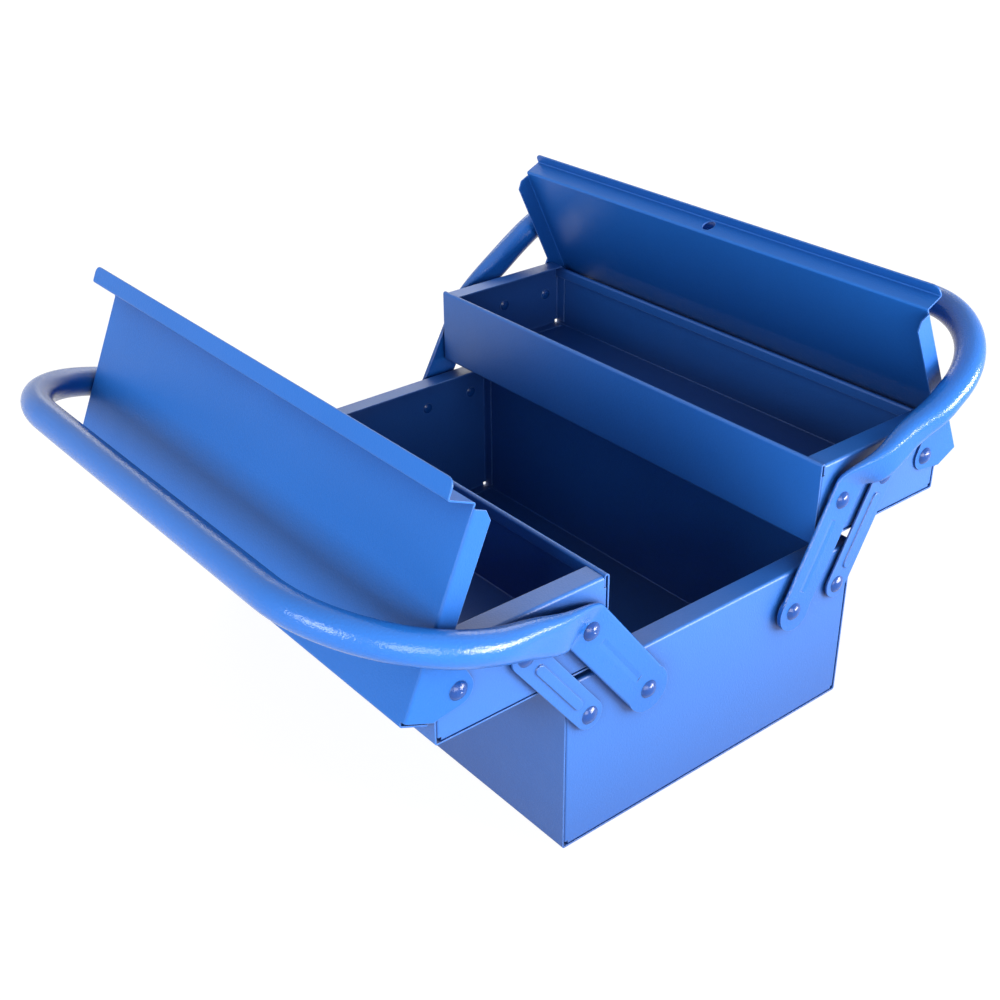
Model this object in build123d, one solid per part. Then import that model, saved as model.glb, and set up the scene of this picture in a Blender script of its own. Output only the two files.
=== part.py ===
from build123d import *
import os
from math import acos, atan2, cos, hypot, radians, sin
from typing import NamedTuple

# Cantilever tool box: a main compartment, two trays on parallel arms, two hinged
# lids and two tube handles whose flattened ends are the arms.
# Millimetres. X runs along the box, +Y to the right tray, +Z up, and the origin is
# the middle of the box's underside. The trays stand open.

# ---- sheet metal ----
SHEET = 0.8              # thickness of every bent sheet
BEND = 1.0               # radius at the middle of the sheet in a folded corner
EDGE_BEND = 1.6          # outer radius where an end panel or a lid turns its flange
HEM_RADIUS = 1.1         # radius at the middle of the sheet in a rolled hem
HEM_RETURN = 5.0         # how far a hem folds back down
SEAM = 0.1               # gap along a seam between two sheets of one box
RELIEF = 2.6             # square notch at the foot of an end panel
FLANGE_WELD = 8.0        # side and bottom flanges that are spot-welded inside

# ---- main box ----
BOX_LENGTH = 310.0
BOX_WIDTH = 201.0
BOX_HEIGHT = 96.3        # to the end panels' top flange
RIM_FLANGE = 11.9        # width of the top flange of the end panels
HEM_RISE = 0.9           # a long wall's hem stands this much above the flange

# ---- trays ----
TRAY_WIDTH = 98.0
TRAY_HEIGHT = 45.8       # to the end panels' top flange
OUTER_WALL_DROP = 4.2    # the outer wall is this much lower, to clear the turning lid
SLOPE_WIDTH = 7.5        # an end panel's top slopes down to the outer wall over this

# ---- linkage, in the plane of the box's ends ----
ARM_PIVOT_IN = 49.0      # arm's lower rivet, in from the box's long wall
ARM_PIVOT_DOWN = 21.7    # and below the end panel's top flange
CRANK = 62.2             # rivet to rivet, on arms and links alike
LINK_OUT = 36.0          # link's rivet, outward of the arm's
LINK_RISE = 1.2          # and above it
TRAY_PIVOT_IN = 14.0     # arm's upper rivet, from the tray's inner wall
TRAY_PIVOT_Z = 23.9      # above the tray's underside
LEFT_OPEN = 37.5         # lean of the left arms outward of vertical, degrees
RIGHT_OPEN = 28.6

# ---- stack of parts at a rivet, outward of an end panel ----
SPACER = 1.5             # washer that holds a link off the panel
PLAY = 0.05              # running clearance along and around a rivet
LINK_THICK = 1.2
ARM_THICK = 2.4          # flattened tube
ARM_STANDOFF = 0.5       # arms run this far outside the links' inner face
SPACER_RADIUS = 6.0
SHANK_RADIUS = 2.5
HEAD_RADIUS = 4.8
HEAD_HEIGHT = 2.4
LINK_HEAD_HEIGHT = 1.9
TAIL_RADIUS = 3.6
TAIL_HEIGHT = 1.2
HEAD_ROOM = 0.3          # round a head, where the flattened tube is spot-faced for it

# ---- handles ----
ARM_OUTER_EDGE = 12.5    # rivets to the flattened tube's edge, away from the box
ARM_EDGE = 1.1           # rounding of its long edges
CREASE_WIDTH = 5.0       # shallow crease along the middle of the flattened tube
CREASE_DEPTH = 0.35
CREASE_END = 11.0        # crease stops this far from each rivet
TUBE_RADIUS = 8.0
TUBE_WALL = 1.2
TUBE_STANDOFF = 5.5      # inner side of the tube, outward of an end panel
LEG_OFFSET = 3.5         # leg axis passes this far from the tray rivet
# how the leg grows from flat to round: share of its straight run, then the share
# of the change in width and in thickness that is done there
LEG_STEPS = ((0.27, 0.56, 0.265), (0.49, 0.67, 0.56), (0.75, 0.87, 0.85))
SECTION_FLAT = 0.1       # flat left between two rounded corners of a section
LEG_LEAD = 0.4           # both ends of the leg keep their section this far



class HandleShape(NamedTuple):
    """Shape of a handle's legs and bends; the two handles differ a little."""

    kink: float          # the leg turns outward of the arm line, degrees
    inner_edge: float    # rivets to the flattened tube's edge, towards the box
    fold_after: float    # fold line, past the tray rivet
    reach: float         # tray rivet to the grip's axis, along the leg
    bend: float          # radius of the two bends

    @property
    def straight(self):
        """Length of the leg from the tray rivet to the bend."""
        return self.reach - self.bend

    @property
    def width(self):
        """Width of the flattened tube."""
        return self.inner_edge + ARM_OUTER_EDGE

    @property
    def middle(self):
        """Middle of the flattened tube, outward of its rivets."""
        return (ARM_OUTER_EDGE - self.inner_edge) / 2


LEFT_HANDLE = HandleShape(34.0, inner_edge=12.5, fold_after=3.0, reach=137.5, bend=63.7)
RIGHT_HANDLE = HandleShape(32.0, inner_edge=9.5, fold_after=8.0, reach=131.3, bend=51.3)

# ---- links ----
LINK_WIDTH = 16.0
LINK_EDGE = 0.5          # rounding of the outer edge
RIB_WIDTH = 5.4
RIB_HEIGHT = 0.9
RIB_EDGE = 0.7
RIB_END = 9.5            # rib stops this far from each rivet
RIB_WALL = 0.9

# ---- lids ----
LID_HINGE_OUT = 12.2     # hinge rivet, in from the tray's outer wall
LID_OVERHANG = 4.85      # lid's side panel, outward of the tray's outer wall
LID_GAP = 0.35           # lid flange to tray end
LID_REST = 0.3           # lid's underside above the tray's hem
LID_HEEL_RISE = 8.2      # side panel's lower edge above the hinge; stops the lid
LID_FLANGE = 10.8        # depth of the end flanges
LID_NOTCH = 2.85         # corner notch between side panel and flange: along the lid
LID_NOTCH_IN = 3.0       # and across it
EAR_RADIUS = 8.0         # round end of the flange at the hinge rivet
EAR_SPREAD = 21.0        # ear's root, inward of the hinge rivet
FLANGE_CHAMFER = 4.0     # corner of the flange beside the step
STEP_ROOT = 4.8          # flat of the lid that the step's sheet starts from
LIP_CORNER = 4.0         # rounded corners of the lip
PADLOCK_RADIUS = 3.8
PADLOCK_HEIGHT = 5.6     # hole's centre above the lid's top
LEFT_STEP_IN = 2.85      # step's outer face, short of the tray's inner wall
LEFT_STEP_HEIGHT = 14.4
LEFT_LIP = 8.5
LEFT_LID_OPEN = 66.6     # degrees from closed
RIGHT_STEP_IN = 0.35
RIGHT_STEP_HEIGHT = 11.0
RIGHT_LIP = 6.0
RIGHT_LID_OPEN = 64.5

OVER = 1.0               # cuts run this far past what they cut

# ---- places that follow from the sizes ----
HALF_LENGTH = BOX_LENGTH / 2
ARM_PIVOT_Y = BOX_WIDTH / 2 - ARM_PIVOT_IN
ARM_PIVOT_Z = BOX_HEIGHT - ARM_PIVOT_DOWN
LINK_FACE = HALF_LENGTH + SPACER + PLAY
ARM_FACE = LINK_FACE + ARM_STANDOFF
TUBE_X = HALF_LENGTH + TUBE_STANDOFF + TUBE_RADIUS
HEM_THICK = 2 * HEM_RADIUS + SHEET
HEM_DEPTH = HEM_RETURN + HEM_RADIUS
LID_HINGE_U = LID_HINGE_OUT + LID_OVERHANG + SHEET   # from the lid's outer face
LID_TOP = TRAY_HEIGHT + HEM_RISE + LID_REST + SHEET  # above the tray's underside
LID_HINGE_V = TRAY_PIVOT_Z - LID_TOP                 # below the lid's top face
LID_SIDE = -LID_HINGE_V - LID_HEEL_RISE              # depth of the side panel
LID_HALF_LENGTH = HALF_LENGTH + LID_GAP + SHEET
TRAY_HINGE_OUT = TRAY_WIDTH - LID_HINGE_OUT - TRAY_PIVOT_IN  # arm rivet to lid rivet


def arm_tip(lean):
    """Upper rivet of an arm that leans outward, as outward distance and height."""
    out = ARM_PIVOT_Y + CRANK * sin(radians(lean))
    up = ARM_PIVOT_Z + CRANK * cos(radians(lean))
    return out, up


def mirrored(part, plane):
    """Mirror image of a part or of a group of separate solids."""
    return Compound(children=[mirror(solid, about=plane) for solid in part.solids()])


def at_ends(part):
    """The part at the front end and its mirror image at the rear end."""
    return part, mirrored(part, Plane.YZ)


def both_ends(solids):
    """One group of separate solids, at the front and mirrored at the rear."""
    group = Compound(children=list(solids))
    return Compound(children=group.solids() + mirrored(group, Plane.YZ).solids())


def block(x, y, z):
    """Box between two values on each axis."""
    middle = Pos(sum(x) / 2, sum(y) / 2, sum(z) / 2)
    return middle * Box(abs(x[1] - x[0]), abs(y[1] - y[0]), abs(z[1] - z[0]))


def cylinder_x(x0, x1, y, z, radius):
    """Cylinder along X from x0 to x1."""
    disc = Plane(origin=(x0, y, z), x_dir=(0, 1, 0), z_dir=(1, 0, 0)) * Circle(radius)
    return extrude(disc, x1 - x0)


def slab(x0, x1, outline):
    """Prism along X from x0 to x1 over a closed outline of (y, z) points."""
    plane = Plane(origin=(x0, 0, 0), x_dir=(0, 1, 0), z_dir=(1, 0, 0))
    return extrude(plane * make_face(Polyline(*outline, close=True)), x1 - x0)


def bent_sheet(edges, half_length):
    """Sheet that follows the edges, drawn in the YZ plane along its middle."""
    section = trace([piece.edge() for piece in edges], line_width=SHEET)
    return extrude(Plane.YZ * section, half_length, both=True)


def hem(y, top, inward):
    """Rolled hem at the top of a wall: the last edges of its section."""
    centre = top - SHEET / 2 - HEM_RADIUS
    turn = 180 if inward < 0 else -180
    start = 0 if inward < 0 else 180
    back = y + inward * 2 * HEM_RADIUS
    arc = CenterArc((y + inward * HEM_RADIUS, centre), HEM_RADIUS, start, turn)
    return [arc, Line((back, centre), (back, centre - HEM_RETURN))], centre


def trough(y_low, y_high, bottom, top_low, top_high):
    """Bottom and two long walls with hems, from outer face y_low to y_high."""
    a, b = y_low + SHEET / 2, y_high - SHEET / 2
    z = bottom + SHEET / 2
    hem_a, end_a = hem(a, top_low, 1)
    hem_b, end_b = hem(b, top_high, -1)
    edges = [
        Line((a, end_a), (a, z + BEND)),
        CenterArc((a + BEND, z + BEND), BEND, 180, 90),
        Line((a + BEND, z), (b - BEND, z)),
        CenterArc((b - BEND, z + BEND), BEND, -90, 90),
        Line((b, z + BEND), (b, end_b)),
    ]
    return bent_sheet(hem_a + edges + hem_b, HALF_LENGTH)


def dish(front, depth, y, z, radius):
    """Block behind the plane x = front, with the edges of its front face rounded."""
    body = block((front - depth, front), y, z)
    return fillet(body.faces().sort_by(Axis.X)[-1].edges(), radius)


def end_pan(y_low, y_high, bottom, top, flange):
    """End panel at the front: a plate with flanges turned inward on all four sides."""
    low, high = y_low + SHEET + SEAM, y_high - SHEET - SEAM
    floor = bottom + SHEET
    inside_y, inside_z = (low + SHEET, high - SHEET), (floor + SHEET, top - SHEET)
    pan = dish(HALF_LENGTH, flange, (low, high), (floor, top), EDGE_BEND)
    pan -= dish(HALF_LENGTH - SHEET, flange, inside_y, inside_z, EDGE_BEND - SHEET)
    back, front = HALF_LENGTH - flange - OVER, HALF_LENGTH + OVER
    below_rim = (floor - OVER, top - 2 * SHEET)
    pan -= block((back, HALF_LENGTH - FLANGE_WELD), (low - OVER, high + OVER), below_rim)
    for inward, y in ((1, low), (-1, high)):
        edge = y - inward * OVER
        notch = y + inward * (HEM_THICK - SHEET)
        pan -= block((back, front), (edge, notch), (top - HEM_DEPTH, top + OVER))
        foot = y + inward * RELIEF
        pan -= block((back, front), (edge, foot), (floor - OVER, floor + RELIEF))
    return pan


def drill(part, holes):
    """Rivet holes through a part, given as (y, z) centres."""
    for y, z in holes:
        part -= cylinder_x(HALF_LENGTH - 2 * SHEET, TUBE_X, y, z, SHANK_RADIUS + PLAY)
    return part


def cap_arc(face, radius, height, outward):
    """Arc of a round head in the (x, radius) plane, from its rim to its top."""
    ball = (radius ** 2 + height ** 2) / (2 * height)
    half_angle = atan2(radius, ball - height) / 2
    top = face + outward * height
    middle = (top - outward * ball * (1 - cos(half_angle)), ball * sin(half_angle))
    return ThreePointArc((face, radius), middle, (top, 0))


def rivet(y, z, outer_face, head_height):
    """Rivet through an end panel, its head on the moving part outside."""
    head_face = outer_face + PLAY
    tail_face = HALF_LENGTH - SHEET
    profile = [
        cap_arc(tail_face, TAIL_RADIUS, TAIL_HEIGHT, -1),
        Line((tail_face, TAIL_RADIUS), (tail_face, SHANK_RADIUS)),
        Line((tail_face, SHANK_RADIUS), (head_face, SHANK_RADIUS)),
        Line((head_face, SHANK_RADIUS), (head_face, HEAD_RADIUS)),
        cap_arc(head_face, HEAD_RADIUS, head_height, 1),
        Line((head_face + head_height, 0), (tail_face - TAIL_HEIGHT, 0)),
    ]
    return Pos(0, y, z) * revolve(make_face(profile), Axis.X)


def arm_rivets(holes):
    """Rivets that carry arms, at both ends of the box."""
    return both_ends([rivet(y, z, ARM_FACE + ARM_THICK, HEAD_HEIGHT) for y, z in holes])


def link_rivets(holes):
    """Rivets that carry links, at both ends of the box."""
    return both_ends([rivet(y, z, LINK_FACE + LINK_THICK, LINK_HEAD_HEIGHT) for y, z in holes])


def spacers(holes, thickness):
    """Washers between the end panels and the parts that turn on their rivets."""
    rings = []
    for y, z in holes:
        ring = cylinder_x(HALF_LENGTH, HALF_LENGTH + thickness, y, z, SPACER_RADIUS)
        rings.append(drill(ring, [(y, z)]))
    return both_ends(rings)


def leg_plane(kink, distance, x):
    """Plane across a handle's leg, this far along it from the tray rivet."""
    along = (sin(radians(kink)), cos(radians(kink)))
    y = along[0] * distance - along[1] * LEG_OFFSET
    z = CRANK + along[1] * distance + along[0] * LEG_OFFSET
    return Plane(origin=(x, y, z), x_dir=(1, 0, 0), z_dir=(0, along[0], along[1]))


def rounded_section(plane, thick, width):
    """Section of a flattened tube, its corners rounded almost to its middle."""
    corner = min(thick, width) / 2 - SECTION_FLAT
    return plane * RectangleRounded(thick, width, corner)


def round_section(kink, distance):
    """Outside of the round tube, this far along the leg from the tray rivet."""
    plane = leg_plane(kink, distance, TUBE_X)
    return rounded_section(plane, 2 * TUBE_RADIUS, 2 * TUBE_RADIUS)


def handle_leg(shape):
    """Arm and leg at the front: flat plate, fold, and the tube growing round."""
    plate_x = ARM_FACE + ARM_THICK / 2
    fold_z = CRANK + shape.fold_after
    fold = Plane(origin=(plate_x, shape.middle, fold_z), x_dir=(1, 0, 0), z_dir=(0, 0, 1))
    plate = fold * RectangleRounded(ARM_THICK, shape.width, ARM_EDGE)
    arm = extrude(plate, -fold_z)
    arm += cylinder_x(ARM_FACE, ARM_FACE + ARM_THICK, shape.middle, 0, shape.width / 2)
    sections = [plate, Pos(0, 0, LEG_LEAD) * plate]
    for share, width_done, thick_done in LEG_STEPS:
        width = shape.width + (2 * TUBE_RADIUS - shape.width) * width_done
        thick = ARM_THICK + (2 * TUBE_RADIUS - ARM_THICK) * thick_done
        x = TUBE_X - TUBE_RADIUS + thick / 2
        plane = leg_plane(shape.kink, shape.straight * share, x)
        sections.append(rounded_section(plane, thick, width))
    for distance in (shape.straight - LEG_LEAD, shape.straight):
        sections.append(round_section(shape.kink, distance))
    body = arm + loft(sections) - crease()
    outer_face = ARM_FACE + ARM_THICK
    body -= cylinder_x(outer_face, TUBE_X, 0, CRANK, HEAD_RADIUS + HEAD_ROOM)
    return drill(body, [(0, 0), (0, CRANK)])


def crease():
    """V-shaped cut along the outer face of the arm, between its two rivets."""
    face = ARM_FACE + ARM_THICK
    spread = CREASE_WIDTH / 2 * (1 + OVER / CREASE_DEPTH)
    corners = [(face - CREASE_DEPTH, 0), (face + OVER, spread), (face + OVER, -spread)]
    low = Plane(origin=(0, 0, CREASE_END)) * make_face(Polyline(*corners, close=True))
    return extrude(low, CRANK - 2 * CREASE_END)


def grip_tube(shape):
    """The round tube: two bends and the grip between them, hollow all the way."""
    root = leg_plane(shape.kink, shape.straight, TUBE_X)
    turned = shape.bend * (1 - cos(radians(45)))
    advanced = shape.straight + shape.bend * sin(radians(45))
    start, middle = root.origin, leg_plane(shape.kink, advanced, TUBE_X - turned).origin
    near = leg_plane(shape.kink, shape.reach, TUBE_X - shape.bend).origin
    path = Wire([
        ThreePointArc(start, middle, near),
        Line(near, (-near.X, near.Y, near.Z)),
        ThreePointArc((-near.X, near.Y, near.Z), (-middle.X, middle.Y, middle.Z),
                      (-start.X, start.Y, start.Z)),
    ])
    outside = sweep(round_section(shape.kink, shape.straight), path=path)
    return outside - sweep(root * Circle(TUBE_RADIUS - TUBE_WALL), path=path)


def handle(lean, shape):
    """Tube handle of the right side, its arms leaning outward of vertical."""
    leg = handle_leg(shape)
    whole = leg + grip_tube(shape) + mirror(leg, about=Plane.YZ)
    return Pos(0, ARM_PIVOT_Y, ARM_PIVOT_Z) * Rot(-lean, 0, 0) * whole


def link(lean):
    """Ribbed link of the right side at the front end, parallel to the arm."""
    plane = Plane(origin=(LINK_FACE, 0, CRANK / 2), x_dir=(0, 0, 1), z_dir=(1, 0, 0))
    strip = extrude(plane * SlotCenterToCenter(CRANK, LINK_WIDTH), LINK_THICK)
    strip = fillet(strip.faces().sort_by(Axis.X)[-1].edges(), LINK_EDGE)
    rib_span = CRANK - 2 * RIB_END
    rib = extrude(plane.offset(LINK_THICK) * SlotOverall(rib_span, RIB_WIDTH), RIB_HEIGHT)
    rib = fillet(rib.faces().sort_by(Axis.X)[-1].edges(), RIB_EDGE)
    hollow = plane * SlotOverall(rib_span - 2 * RIB_WALL, RIB_WIDTH - 2 * RIB_WALL)
    part = strip + rib - extrude(hollow, LINK_THICK + RIB_HEIGHT - RIB_WALL)
    place = Pos(0, ARM_PIVOT_Y + LINK_OUT, ARM_PIVOT_Z + LINK_RISE)
    return place * Rot(-lean, 0, 0) * drill(part, [(0, 0), (0, CRANK)])


def lid_outline(step_at):
    """Side view of the lid's panels: u from the outer face, v up from the top."""
    end = step_at - SHEET - 2 * BEND
    u, v, r = LID_HINGE_U, LID_HINGE_V, EAR_RADIUS
    root = (u + EAR_SPREAD, -LID_FLANGE)
    root_far = hypot(root[0] - u, root[1] - v)
    root_touch = atan2(root[1] - v, root[0] - u) - acos(r / root_far)
    heel = (LID_NOTCH_IN, -LID_SIDE)
    heel_far = hypot(heel[0] - u, heel[1] - v)
    heel_touch = atan2(heel[1] - v, heel[0] - u) + acos(r / heel_far)
    arc_start = (u + r * cos(heel_touch), v + r * sin(heel_touch))
    arc_end = (u + r * cos(root_touch), v + r * sin(root_touch))
    return [
        Line((-OVER, OVER), (-OVER, -LID_SIDE)),
        Line((-OVER, -LID_SIDE), heel),
        Line(heel, arc_start),
        ThreePointArc(arc_start, (u, v - r), arc_end),
        Line(arc_end, root),
        Line(root, (end - FLANGE_CHAMFER, -LID_FLANGE)),
        Line((end - FLANGE_CHAMFER, -LID_FLANGE), (end, FLANGE_CHAMFER - LID_FLANGE)),
        Line((end, FLANGE_CHAMFER - LID_FLANGE), (end, OVER)),
        Line((end, OVER), (-OVER, OVER)),
    ]


def lid_block(inset, step_at, depth, radius):
    """Block inside the lid's faces, its outer long edge and end edges rounded."""
    half = LID_HALF_LENGTH - inset
    body = block((-half, half), (inset, step_at + inset), (-depth, -inset))
    top = body.faces().sort_by(Axis.Z)[-1]
    long_edge = top.edges().filter_by(Axis.X).sort_by(Axis.Y)[:1]
    return fillet(long_edge + top.edges().filter_by(Axis.Y), radius)


def lid_pan(step_at):
    """Top, side panel and end flanges of a lid, with a notch at each outer corner."""
    depth = EAR_RADIUS - LID_HINGE_V + OVER
    shell = lid_block(0, step_at, depth, EDGE_BEND)
    shell -= lid_block(SHEET, step_at, depth + OVER, EDGE_BEND - SHEET)
    profile = Plane.YZ * make_face(lid_outline(step_at))
    pan = shell & extrude(profile, LID_HALF_LENGTH + OVER, both=True)
    for end in (-1, 1):
        x = (end * (LID_HALF_LENGTH - LID_NOTCH), end * (LID_HALF_LENGTH + OVER))
        pan -= block(x, (-OVER, LID_NOTCH_IN), (-depth, OVER))
    return pan


def lid(step_at, step_height, lip):
    """Closed lid with its outer top corner on the X axis, reaching along +Y."""
    mid = step_at - SHEET / 2
    rise = step_height - SHEET / 2
    edges = [
        Line((mid - BEND - STEP_ROOT, -SHEET / 2), (mid - BEND, -SHEET / 2)),
        CenterArc((mid - BEND, BEND - SHEET / 2), BEND, -90, 90),
        Line((mid, BEND - SHEET / 2), (mid, rise - BEND)),
        CenterArc((mid + BEND, rise - BEND), BEND, 180, -90),
        Line((mid + BEND, rise), (step_at + lip, rise)),
    ]
    catch = bent_sheet(edges, LID_HALF_LENGTH - SHEET)
    tips = catch.edges().filter_by(Axis.Z).sort_by(Axis.Y)[-2:]
    catch = fillet(tips, LIP_CORNER)
    plane = Plane(origin=(0, mid - SHEET, PADLOCK_HEIGHT), x_dir=(1, 0, 0), z_dir=(0, 1, 0))
    part = lid_pan(step_at) + catch - extrude(plane * Circle(PADLOCK_RADIUS), 2 * SHEET)
    reach = LID_HALF_LENGTH + OVER
    return part - cylinder_x(-reach, reach, LID_HINGE_U, LID_HINGE_V, SHANK_RADIUS + PLAY)


def main_box():
    """The main compartment, its rivets and its spacers."""
    low, high = -BOX_WIDTH / 2, BOX_WIDTH / 2
    rim = BOX_HEIGHT + HEM_RISE
    arm_holes = [(y, ARM_PIVOT_Z) for y in (-ARM_PIVOT_Y, ARM_PIVOT_Y)]
    link_y = ARM_PIVOT_Y + LINK_OUT
    link_holes = [(y, ARM_PIVOT_Z + LINK_RISE) for y in (-link_y, link_y)]
    pan = end_pan(low, high, 0, BOX_HEIGHT, RIM_FLANGE)
    front, back = at_ends(drill(pan, arm_holes + link_holes))
    return {
        "main_body": trough(low, high, 0, rim, rim),
        "main_end_front": front,
        "main_end_back": back,
        "main_handle_rivets": arm_rivets(arm_holes),
        "main_link_rivets": link_rivets(link_holes),
        "main_handle_spacers": spacers(arm_holes, SPACER + ARM_STANDOFF),
        "main_link_spacers": spacers(link_holes, SPACER),
    }


def tray_slope(high, top, outer_top):
    """Outline cut from a tray's end panel: a slope down to the lower outer wall."""
    notch = high - HEM_THICK - SEAM
    under_hem = outer_top - HEM_DEPTH - HEM_RISE
    return [
        (high - SLOPE_WIDTH, top + OVER),
        (high - SLOPE_WIDTH, top),
        (notch, outer_top),
        (notch, under_hem),
        (high + OVER, under_hem),
        (high + OVER, top + OVER),
    ]


def tray(lean):
    """The right tray with its rivets and spacers, at its place for the arms' lean."""
    pivot_y, pivot_z = arm_tip(lean)
    low = pivot_y - TRAY_PIVOT_IN
    high = low + TRAY_WIDTH
    bottom = pivot_z - TRAY_PIVOT_Z
    top = bottom + TRAY_HEIGHT
    outer_top = top - OUTER_WALL_DROP
    arm_hole = (pivot_y, pivot_z)
    link_hole = (pivot_y + LINK_OUT, pivot_z + LINK_RISE)
    lid_hole = (pivot_y + TRAY_HINGE_OUT, pivot_z)
    pan = end_pan(low, high, bottom, top, RIM_FLANGE)
    behind = HALF_LENGTH - RIM_FLANGE - OVER
    pan -= slab(behind, HALF_LENGTH + OVER, tray_slope(high, top, outer_top))
    front, back = at_ends(drill(pan, [arm_hole, link_hole, lid_hole]))
    return {
        "tray_body": trough(low, high, bottom, top + HEM_RISE, outer_top),
        "tray_end_front": front,
        "tray_end_back": back,
        "tray_handle_rivets": arm_rivets([arm_hole]),
        "tray_link_rivets": link_rivets([link_hole]),
        "tray_handle_spacers": spacers([arm_hole], SPACER + ARM_STANDOFF),
        "tray_link_spacers": spacers([link_hole], SPACER),
        "lid_rivets": both_ends([rivet(*lid_hole, LID_HALF_LENGTH, HEAD_HEIGHT)]),
    }


def placed_lid(lean, open_angle, step_in, step_height, lip):
    """The right lid on its rivets, turned outward from closed."""
    pivot_y, pivot_z = arm_tip(lean)
    step_at = SHEET + LID_OVERHANG + TRAY_WIDTH - step_in
    closed = mirror(lid(step_at, step_height, lip), about=Plane.XZ)
    hinged = Pos(0, LID_HINGE_U, -LID_HINGE_V) * closed
    return Pos(0, pivot_y + TRAY_HINGE_OUT, pivot_z) * Rot(-open_angle, 0, 0) * hinged


def side(lean, shape, lid_open, step_in, step_height, lip):
    """Everything that hangs on one side of the box, built as the right side."""
    front, back = at_ends(link(lean))
    parts = {"handle": handle(lean, shape), "link_front": front, "link_back": back}
    parts.update(tray(lean))
    parts["lid"] = placed_lid(lean, lid_open, step_in, step_height, lip)
    return parts


def build():
    """All parts by name."""
    parts = main_box()
    right = side(RIGHT_OPEN, RIGHT_HANDLE, RIGHT_LID_OPEN,
                 RIGHT_STEP_IN, RIGHT_STEP_HEIGHT, RIGHT_LIP)
    left = side(LEFT_OPEN, LEFT_HANDLE, LEFT_LID_OPEN,
                LEFT_STEP_IN, LEFT_STEP_HEIGHT, LEFT_LIP)
    for name, part in right.items():
        parts["right_" + name] = part
    for name, part in left.items():
        parts["left_" + name] = mirrored(part, Plane.XZ)
    return parts


def main():
    os.makedirs("parts", exist_ok=True)
    for name, part in build().items():
        part.label = name
        export_step(part, "parts/" + name + ".step")
        print(name, len(part.solids()), round(part.volume, 1))


main()
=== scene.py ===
import math

import bpy
from mathutils import Matrix, Vector

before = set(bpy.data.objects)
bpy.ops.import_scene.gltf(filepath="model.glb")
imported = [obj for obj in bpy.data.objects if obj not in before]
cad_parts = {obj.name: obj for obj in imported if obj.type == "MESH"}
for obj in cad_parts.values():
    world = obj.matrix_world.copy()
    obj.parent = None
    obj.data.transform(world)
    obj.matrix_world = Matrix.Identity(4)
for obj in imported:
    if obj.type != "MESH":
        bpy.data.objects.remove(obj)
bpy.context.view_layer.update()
scene = bpy.context.scene

# ---- camera: the photograph's viewing angle ----
CAMERA_AT = Vector((0.5458, -0.4521, 0.4865))
AZIMUTH, PITCH, ROLL = (math.radians(a) for a in (51.14, 29.22, -0.48))
LENS = 52.0
SENSOR = 36.0
CLIP = (0.01, 50.0)


def camera_axes():
    """Right, up and back of the photograph's camera."""
    back = Vector((
        math.sin(AZIMUTH) * math.cos(PITCH),
        -math.cos(AZIMUTH) * math.cos(PITCH),
        math.sin(PITCH),
    ))
    right = (-back).cross(Vector((0, 0, 1))).normalized()
    up = right.cross(-back)
    turned_right = right * math.cos(ROLL) + up * math.sin(ROLL)
    turned_up = up * math.cos(ROLL) - right * math.sin(ROLL)
    return turned_right, turned_up, back


def make_camera():
    data = bpy.data.cameras.new("photo_camera")
    data.lens = LENS
    data.sensor_width = SENSOR
    data.clip_start, data.clip_end = CLIP
    camera = bpy.data.objects.new("photo_camera", data)
    scene.collection.objects.link(camera)
    rotation = Matrix(camera_axes()).transposed().to_4x4()
    camera.matrix_world = Matrix.Translation(CAMERA_AT) @ rotation
    scene.camera = camera


# ---- node helpers ----
class Graph:
    """Short calls for building the nodes of one material or of the world."""

    def __init__(self, owner):
        if isinstance(owner, str):
            owner = bpy.data.materials.new(owner)
            owner.use_nodes = True
        self.owner = owner
        self.tree = owner.node_tree
        self.tree.nodes.clear()

    def add(self, kind, inputs=None, **settings):
        node = self.tree.nodes.new(kind)
        for key, value in settings.items():
            setattr(node, key, value)
        for key, value in (inputs or {}).items():
            if isinstance(value, bpy.types.NodeSocket):
                self.tree.links.new(value, node.inputs[key])
            else:
                node.inputs[key].default_value = value
        return node

    def finish(self, shader, kind="ShaderNodeOutputMaterial"):
        out = self.add(kind)
        self.tree.links.new(shader, out.inputs["Surface"])
        return self.owner

    def math(self, operation, a, b=0.0, clamp=False):
        node = self.add("ShaderNodeMath", {0: a, 1: b}, operation=operation, use_clamp=clamp)
        return node.outputs[0]

    def noise(self, vector, scale, detail=2.0, roughness=0.5):
        settings = {"Vector": vector, "Scale": scale, "Detail": detail, "Roughness": roughness}
        return self.add("ShaderNodeTexNoise", settings).outputs["Fac"]

    def place(self):
        """Place on the object, in its own coordinates."""
        return self.add("ShaderNodeTexCoord").outputs["Object"]

    def spread(self, value, low, high, to_low=0.0, to_high=1.0):
        """A value from low to high, brought to the range from to_low to to_high."""
        node = self.add("ShaderNodeMapRange", {
            "Value": value, "From Min": low, "From Max": high, "To Min": to_low, "To Max": to_high})
        return node.outputs["Result"]

    def ramp(self, factor, stops):
        node = self.add("ShaderNodeValToRGB", {"Fac": factor})
        for element, (position, color) in zip(node.color_ramp.elements, stops):
            element.position = position
            element.color = color
        return node.outputs["Color"]

    def mix(self, factor, a, b):
        node = self.add("ShaderNodeMix", {0: factor}, data_type="RGBA")
        for index, value in ((6, a), (7, b)):
            if isinstance(value, bpy.types.NodeSocket):
                self.tree.links.new(value, node.inputs[index])
            else:
                node.inputs[index].default_value = value
        return node.outputs[2]


def rgba(r, g, b):
    return (r, g, b, 1.0)


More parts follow.
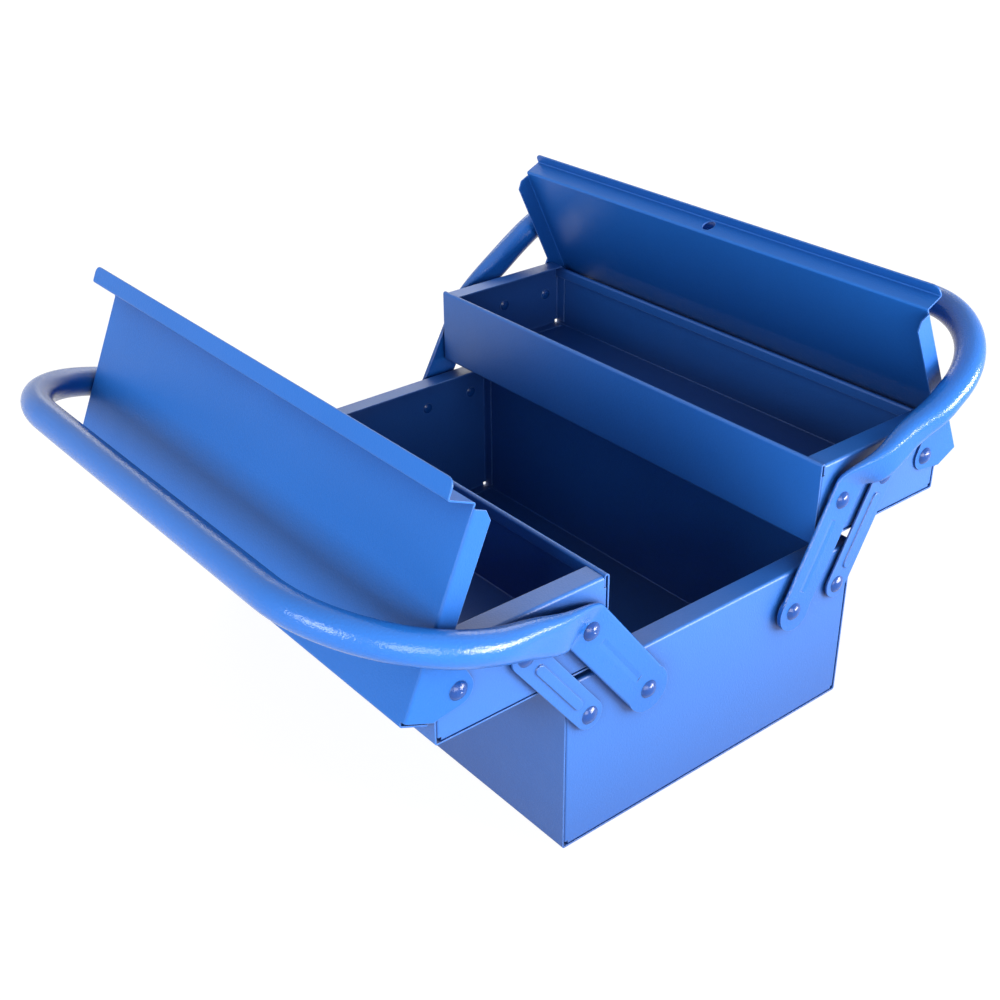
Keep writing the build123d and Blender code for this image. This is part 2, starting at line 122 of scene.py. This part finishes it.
# ---- enamel: two shades of one blue, thin paint with a painted highlight on its edges, and painted shade where it is closed in ----
DEEP = rgba(0.014, 0.143, 0.54)
BLUE = rgba(0.021, 0.167, 0.61)
# thin paint and painted highlight of the sharp edges
THIN_PAINT_AND_HIGHLIGHT = rgba(0.22, 0.38, 0.78)
# painted shade: a dark blue mixed in where walls close a place in
PAINTED_SHADE = rgba(0.0010, 0.036, 0.185)
NAVY = rgba(0.004, 0.060, 0.29)      # of the rivets
# zinc shades with a painted blue reflection of the enamel around them
ZINC_DARK = rgba(0.05, 0.10, 0.22)
ZINC_PALE = rgba(0.10, 0.17, 0.32)

# NEARBY and the open shares below set where the painted shade is mixed in
NEARBY = 0.20                        # metres within which a wall closes a place in
CLOSED_IN, OPEN_OUT = 0.30, 0.88     # open share of the room, from full shade to none
EDGE_RADIUS = 0.0005                 # metres, over which an edge is rounded
EDGE_GAIN = 4.0
IOR = 1.5

# noise scales, in cycles to the metre
# the middle scale breaks up the thin paint and painted highlight on edges
CLOUD, EDGE_WEAR_AND_HIGHLIGHT, GLOSS = 9.0, 130.0, 60.0
PEEL_COARSE, PEEL_FINE, GRAIN = 420.0, 1000.0, 700.0
COARSE_SHARE = 0.25
GLOSS_SPREAD = 0.10

# slot: shades, roughness, strength and depth of the orange peel, specular level
ENAMELS = {
    "sheet_enamel": ((DEEP, BLUE), 0.40, 0.35, 0.0004, 0.70),
    "lid_enamel": ((DEEP, BLUE), 0.34, 0.40, 0.0004, 0.32),
    "handle_enamel": ((DEEP, BLUE), 0.15, 0.60, 0.0004, 0.50),
    "link_enamel": ((DEEP, BLUE), 0.30, 0.40, 0.0004, 0.70),
    "rivet_enamel": ((NAVY, NAVY), 0.14, 0.30, 0.0004, 0.50),
}


def worn_and_highlit_edges(g, place, round_edge):
    """Share of thin paint and painted highlight: highest on sharp edges, broken up by a fine
    pattern.
    """
    flat = g.add("ShaderNodeNewGeometry").outputs["Normal"]
    node = g.add("ShaderNodeVectorMath", {0: round_edge, 1: flat}, operation="DOT_PRODUCT")
    turn = g.math("SUBTRACT", 1.0, node.outputs["Value"])
    edge = g.math("MULTIPLY", turn, EDGE_GAIN, clamp=True)
    return g.math("MULTIPLY", edge, g.noise(place, EDGE_WEAR_AND_HIGHLIGHT), clamp=True)


def enamel(name, shades, roughness, peel, depth, shine):
    """Gloss enamel with orange peel, thin paint with a painted highlight on its edges, and painted
    shade where it is closed in.
    """
    g = Graph(name)
    place = g.place()
    color = g.mix(g.noise(place, CLOUD, 3.0, 0.55), *shades)
    # painted shade: darker where nearby walls close the place in
    openness = g.add("ShaderNodeAmbientOcclusion", {"Distance": NEARBY}, samples=5).outputs["AO"]
    color = g.mix(g.spread(openness, CLOSED_IN, OPEN_OUT), PAINTED_SHADE, color)
    round_edge = g.add("ShaderNodeBevel", {"Radius": EDGE_RADIUS}, samples=5).outputs["Normal"]
    # thin paint and painted highlight on sharp edges
    color = g.mix(worn_and_highlit_edges(g, place, round_edge), color, THIN_PAINT_AND_HIGHLIGHT)
    coarse = g.math("MULTIPLY", g.noise(place, PEEL_COARSE), COARSE_SHARE)
    fine = g.math("MULTIPLY", g.noise(place, PEEL_FINE, 1.5, 0.6), 1.0 - COARSE_SHARE)
    bump = g.add("ShaderNodeBump", {
        "Height": g.math("ADD", coarse, fine), "Normal": round_edge,
        "Strength": peel, "Distance": depth})
    uneven = g.math("MULTIPLY", g.noise(place, GLOSS, 3.0), GLOSS_SPREAD)
    shader = g.add("ShaderNodeBsdfPrincipled", {
        "Base Color": color, "Roughness": g.math("ADD", roughness, uneven),
        "Normal": bump.outputs["Normal"], "IOR": IOR, "Specular IOR Level": shine})
    return g.finish(shader.outputs["BSDF"])


def plated_steel(name):
    """Washers of dull zinc, with a painted blue reflection of the enamel around them."""
    g = Graph(name)
    grain = g.noise(g.place(), GRAIN, 3.0)
    color = g.ramp(grain, [(0.3, ZINC_DARK), (0.7, ZINC_PALE)])
    bump = g.add("ShaderNodeBump", {"Height": grain, "Strength": 0.3, "Distance": 0.0002})
    shader = g.add("ShaderNodeBsdfPrincipled", {
        "Base Color": color, "Roughness": 0.4, "Metallic": 0.4, "Normal": bump.outputs["Normal"]})
    return g.finish(shader.outputs["BSDF"])


def dress_nodes():
    finishes = {slot: enamel(slot + "_paint", *look) for slot, look in ENAMELS.items()}
    finishes["spacer_steel"] = plated_steel("spacer_steel_zinc")
    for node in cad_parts.values():
        for slot in node.material_slots:
            name = slot.material.name.split(".")[0]
            slot.material = finishes[name]


# ---- studio ----
AMBIENT = 0.30           # how much the white room lights the object
FLOOR_GLOW = 0.86        # floor's own white under the object, where its shadow still shows
LIT_FLOOR = (1.2, 2.4)   # metres from the middle where that white rises to the backdrop's
FLOOR_HALF = 6.0
FLOOR_DROP = 0.0004      # floor's top below the object's underside
FLOOR_PALE = rgba(0.80, 0.80, 0.81)
FLOOR_FAINT = rgba(0.25, 0.25, 0.25)
WHITE = rgba(1, 1, 1)
AIM = Vector((0.0, 0.0, 0.12))
# name: place, size, power, colour
LAMPS = {
    "key": ((2.2, -0.7, 0.60), (1.5, 1.0), 30.0, (1.0, 0.98, 1.0)),
    "left": ((0.5, -2.0, 0.85), (1.2, 0.7), 30.0, (0.96, 0.98, 1.0)),
    "right": ((1.7, 1.3, 0.26), (1.4, 0.4), 66.0, (1.0, 0.96, 0.96)),
    "back": ((-1.5, 1.3, 1.1), (1.8, 0.8), 11.0, (1.0, 1.0, 1.0)),
}


def make_lamps():
    """Soft boxes that aim at the middle of the object."""
    for name, (at, size, power, color) in LAMPS.items():
        data = bpy.data.lights.new(name, "AREA")
        data.shape = "RECTANGLE"
        data.size, data.size_y = size
        data.energy = power
        data.color = color
        lamp = bpy.data.objects.new(name, data)
        scene.collection.objects.link(lamp)
        lamp.location = at
        lamp.rotation_euler = (AIM - Vector(at)).to_track_quat("-Z", "Y").to_euler()


def seen_directly(g):
    """1 for the rays that show the background: from the camera, a gloss or a glass."""
    path = g.add("ShaderNodeLightPath")
    gloss = g.math("MAXIMUM", path.outputs["Is Glossy Ray"], path.outputs["Is Transmission Ray"])
    return g.math("MAXIMUM", path.outputs["Is Camera Ray"], gloss)


def pale_floor():
    """Pale for the light that reaches the object, white with a faint shadow where it is seen."""
    g = Graph("pale_floor")
    away = g.add("ShaderNodeVectorMath", {0: g.place()}, operation="LENGTH").outputs["Value"]
    white = g.spread(away, *LIT_FLOOR, to_low=FLOOR_GLOW)
    pale = g.add("ShaderNodeBsdfDiffuse", {"Color": FLOOR_PALE}).outputs[0]
    glow = g.add("ShaderNodeEmission", {"Color": WHITE, "Strength": white}).outputs[0]
    faint = g.add("ShaderNodeBsdfDiffuse", {"Color": FLOOR_FAINT}).outputs[0]
    seen = g.add("ShaderNodeAddShader", {0: glow, 1: faint}).outputs[0]
    mix = g.add("ShaderNodeMixShader", {0: seen_directly(g), 1: pale, 2: seen})
    return g.finish(mix.outputs[0])


def make_floor():
    signs = ((-1, -1), (1, -1), (1, 1), (-1, 1))
    corners = [(x * FLOOR_HALF, y * FLOOR_HALF, -FLOOR_DROP) for x, y in signs]
    mesh = bpy.data.meshes.new("floor")
    mesh.from_pydata(corners, [], [(0, 1, 2, 3)])
    mesh.materials.append(pale_floor())
    floor = bpy.data.objects.new("floor", mesh)
    scene.collection.objects.link(floor)


def make_world():
    world = bpy.data.worlds.new("studio")
    scene.world = world
    world.use_nodes = True
    g = Graph(world)
    strength = g.spread(seen_directly(g), 0.0, 1.0, to_low=AMBIENT)
    background = g.add("ShaderNodeBackground", {"Color": WHITE, "Strength": strength})
    g.finish(background.outputs[0], "ShaderNodeOutputWorld")


make_camera()
dress_nodes()
make_floor()
make_world()
make_lamps()
scene.view_settings.view_transform = "Standard"
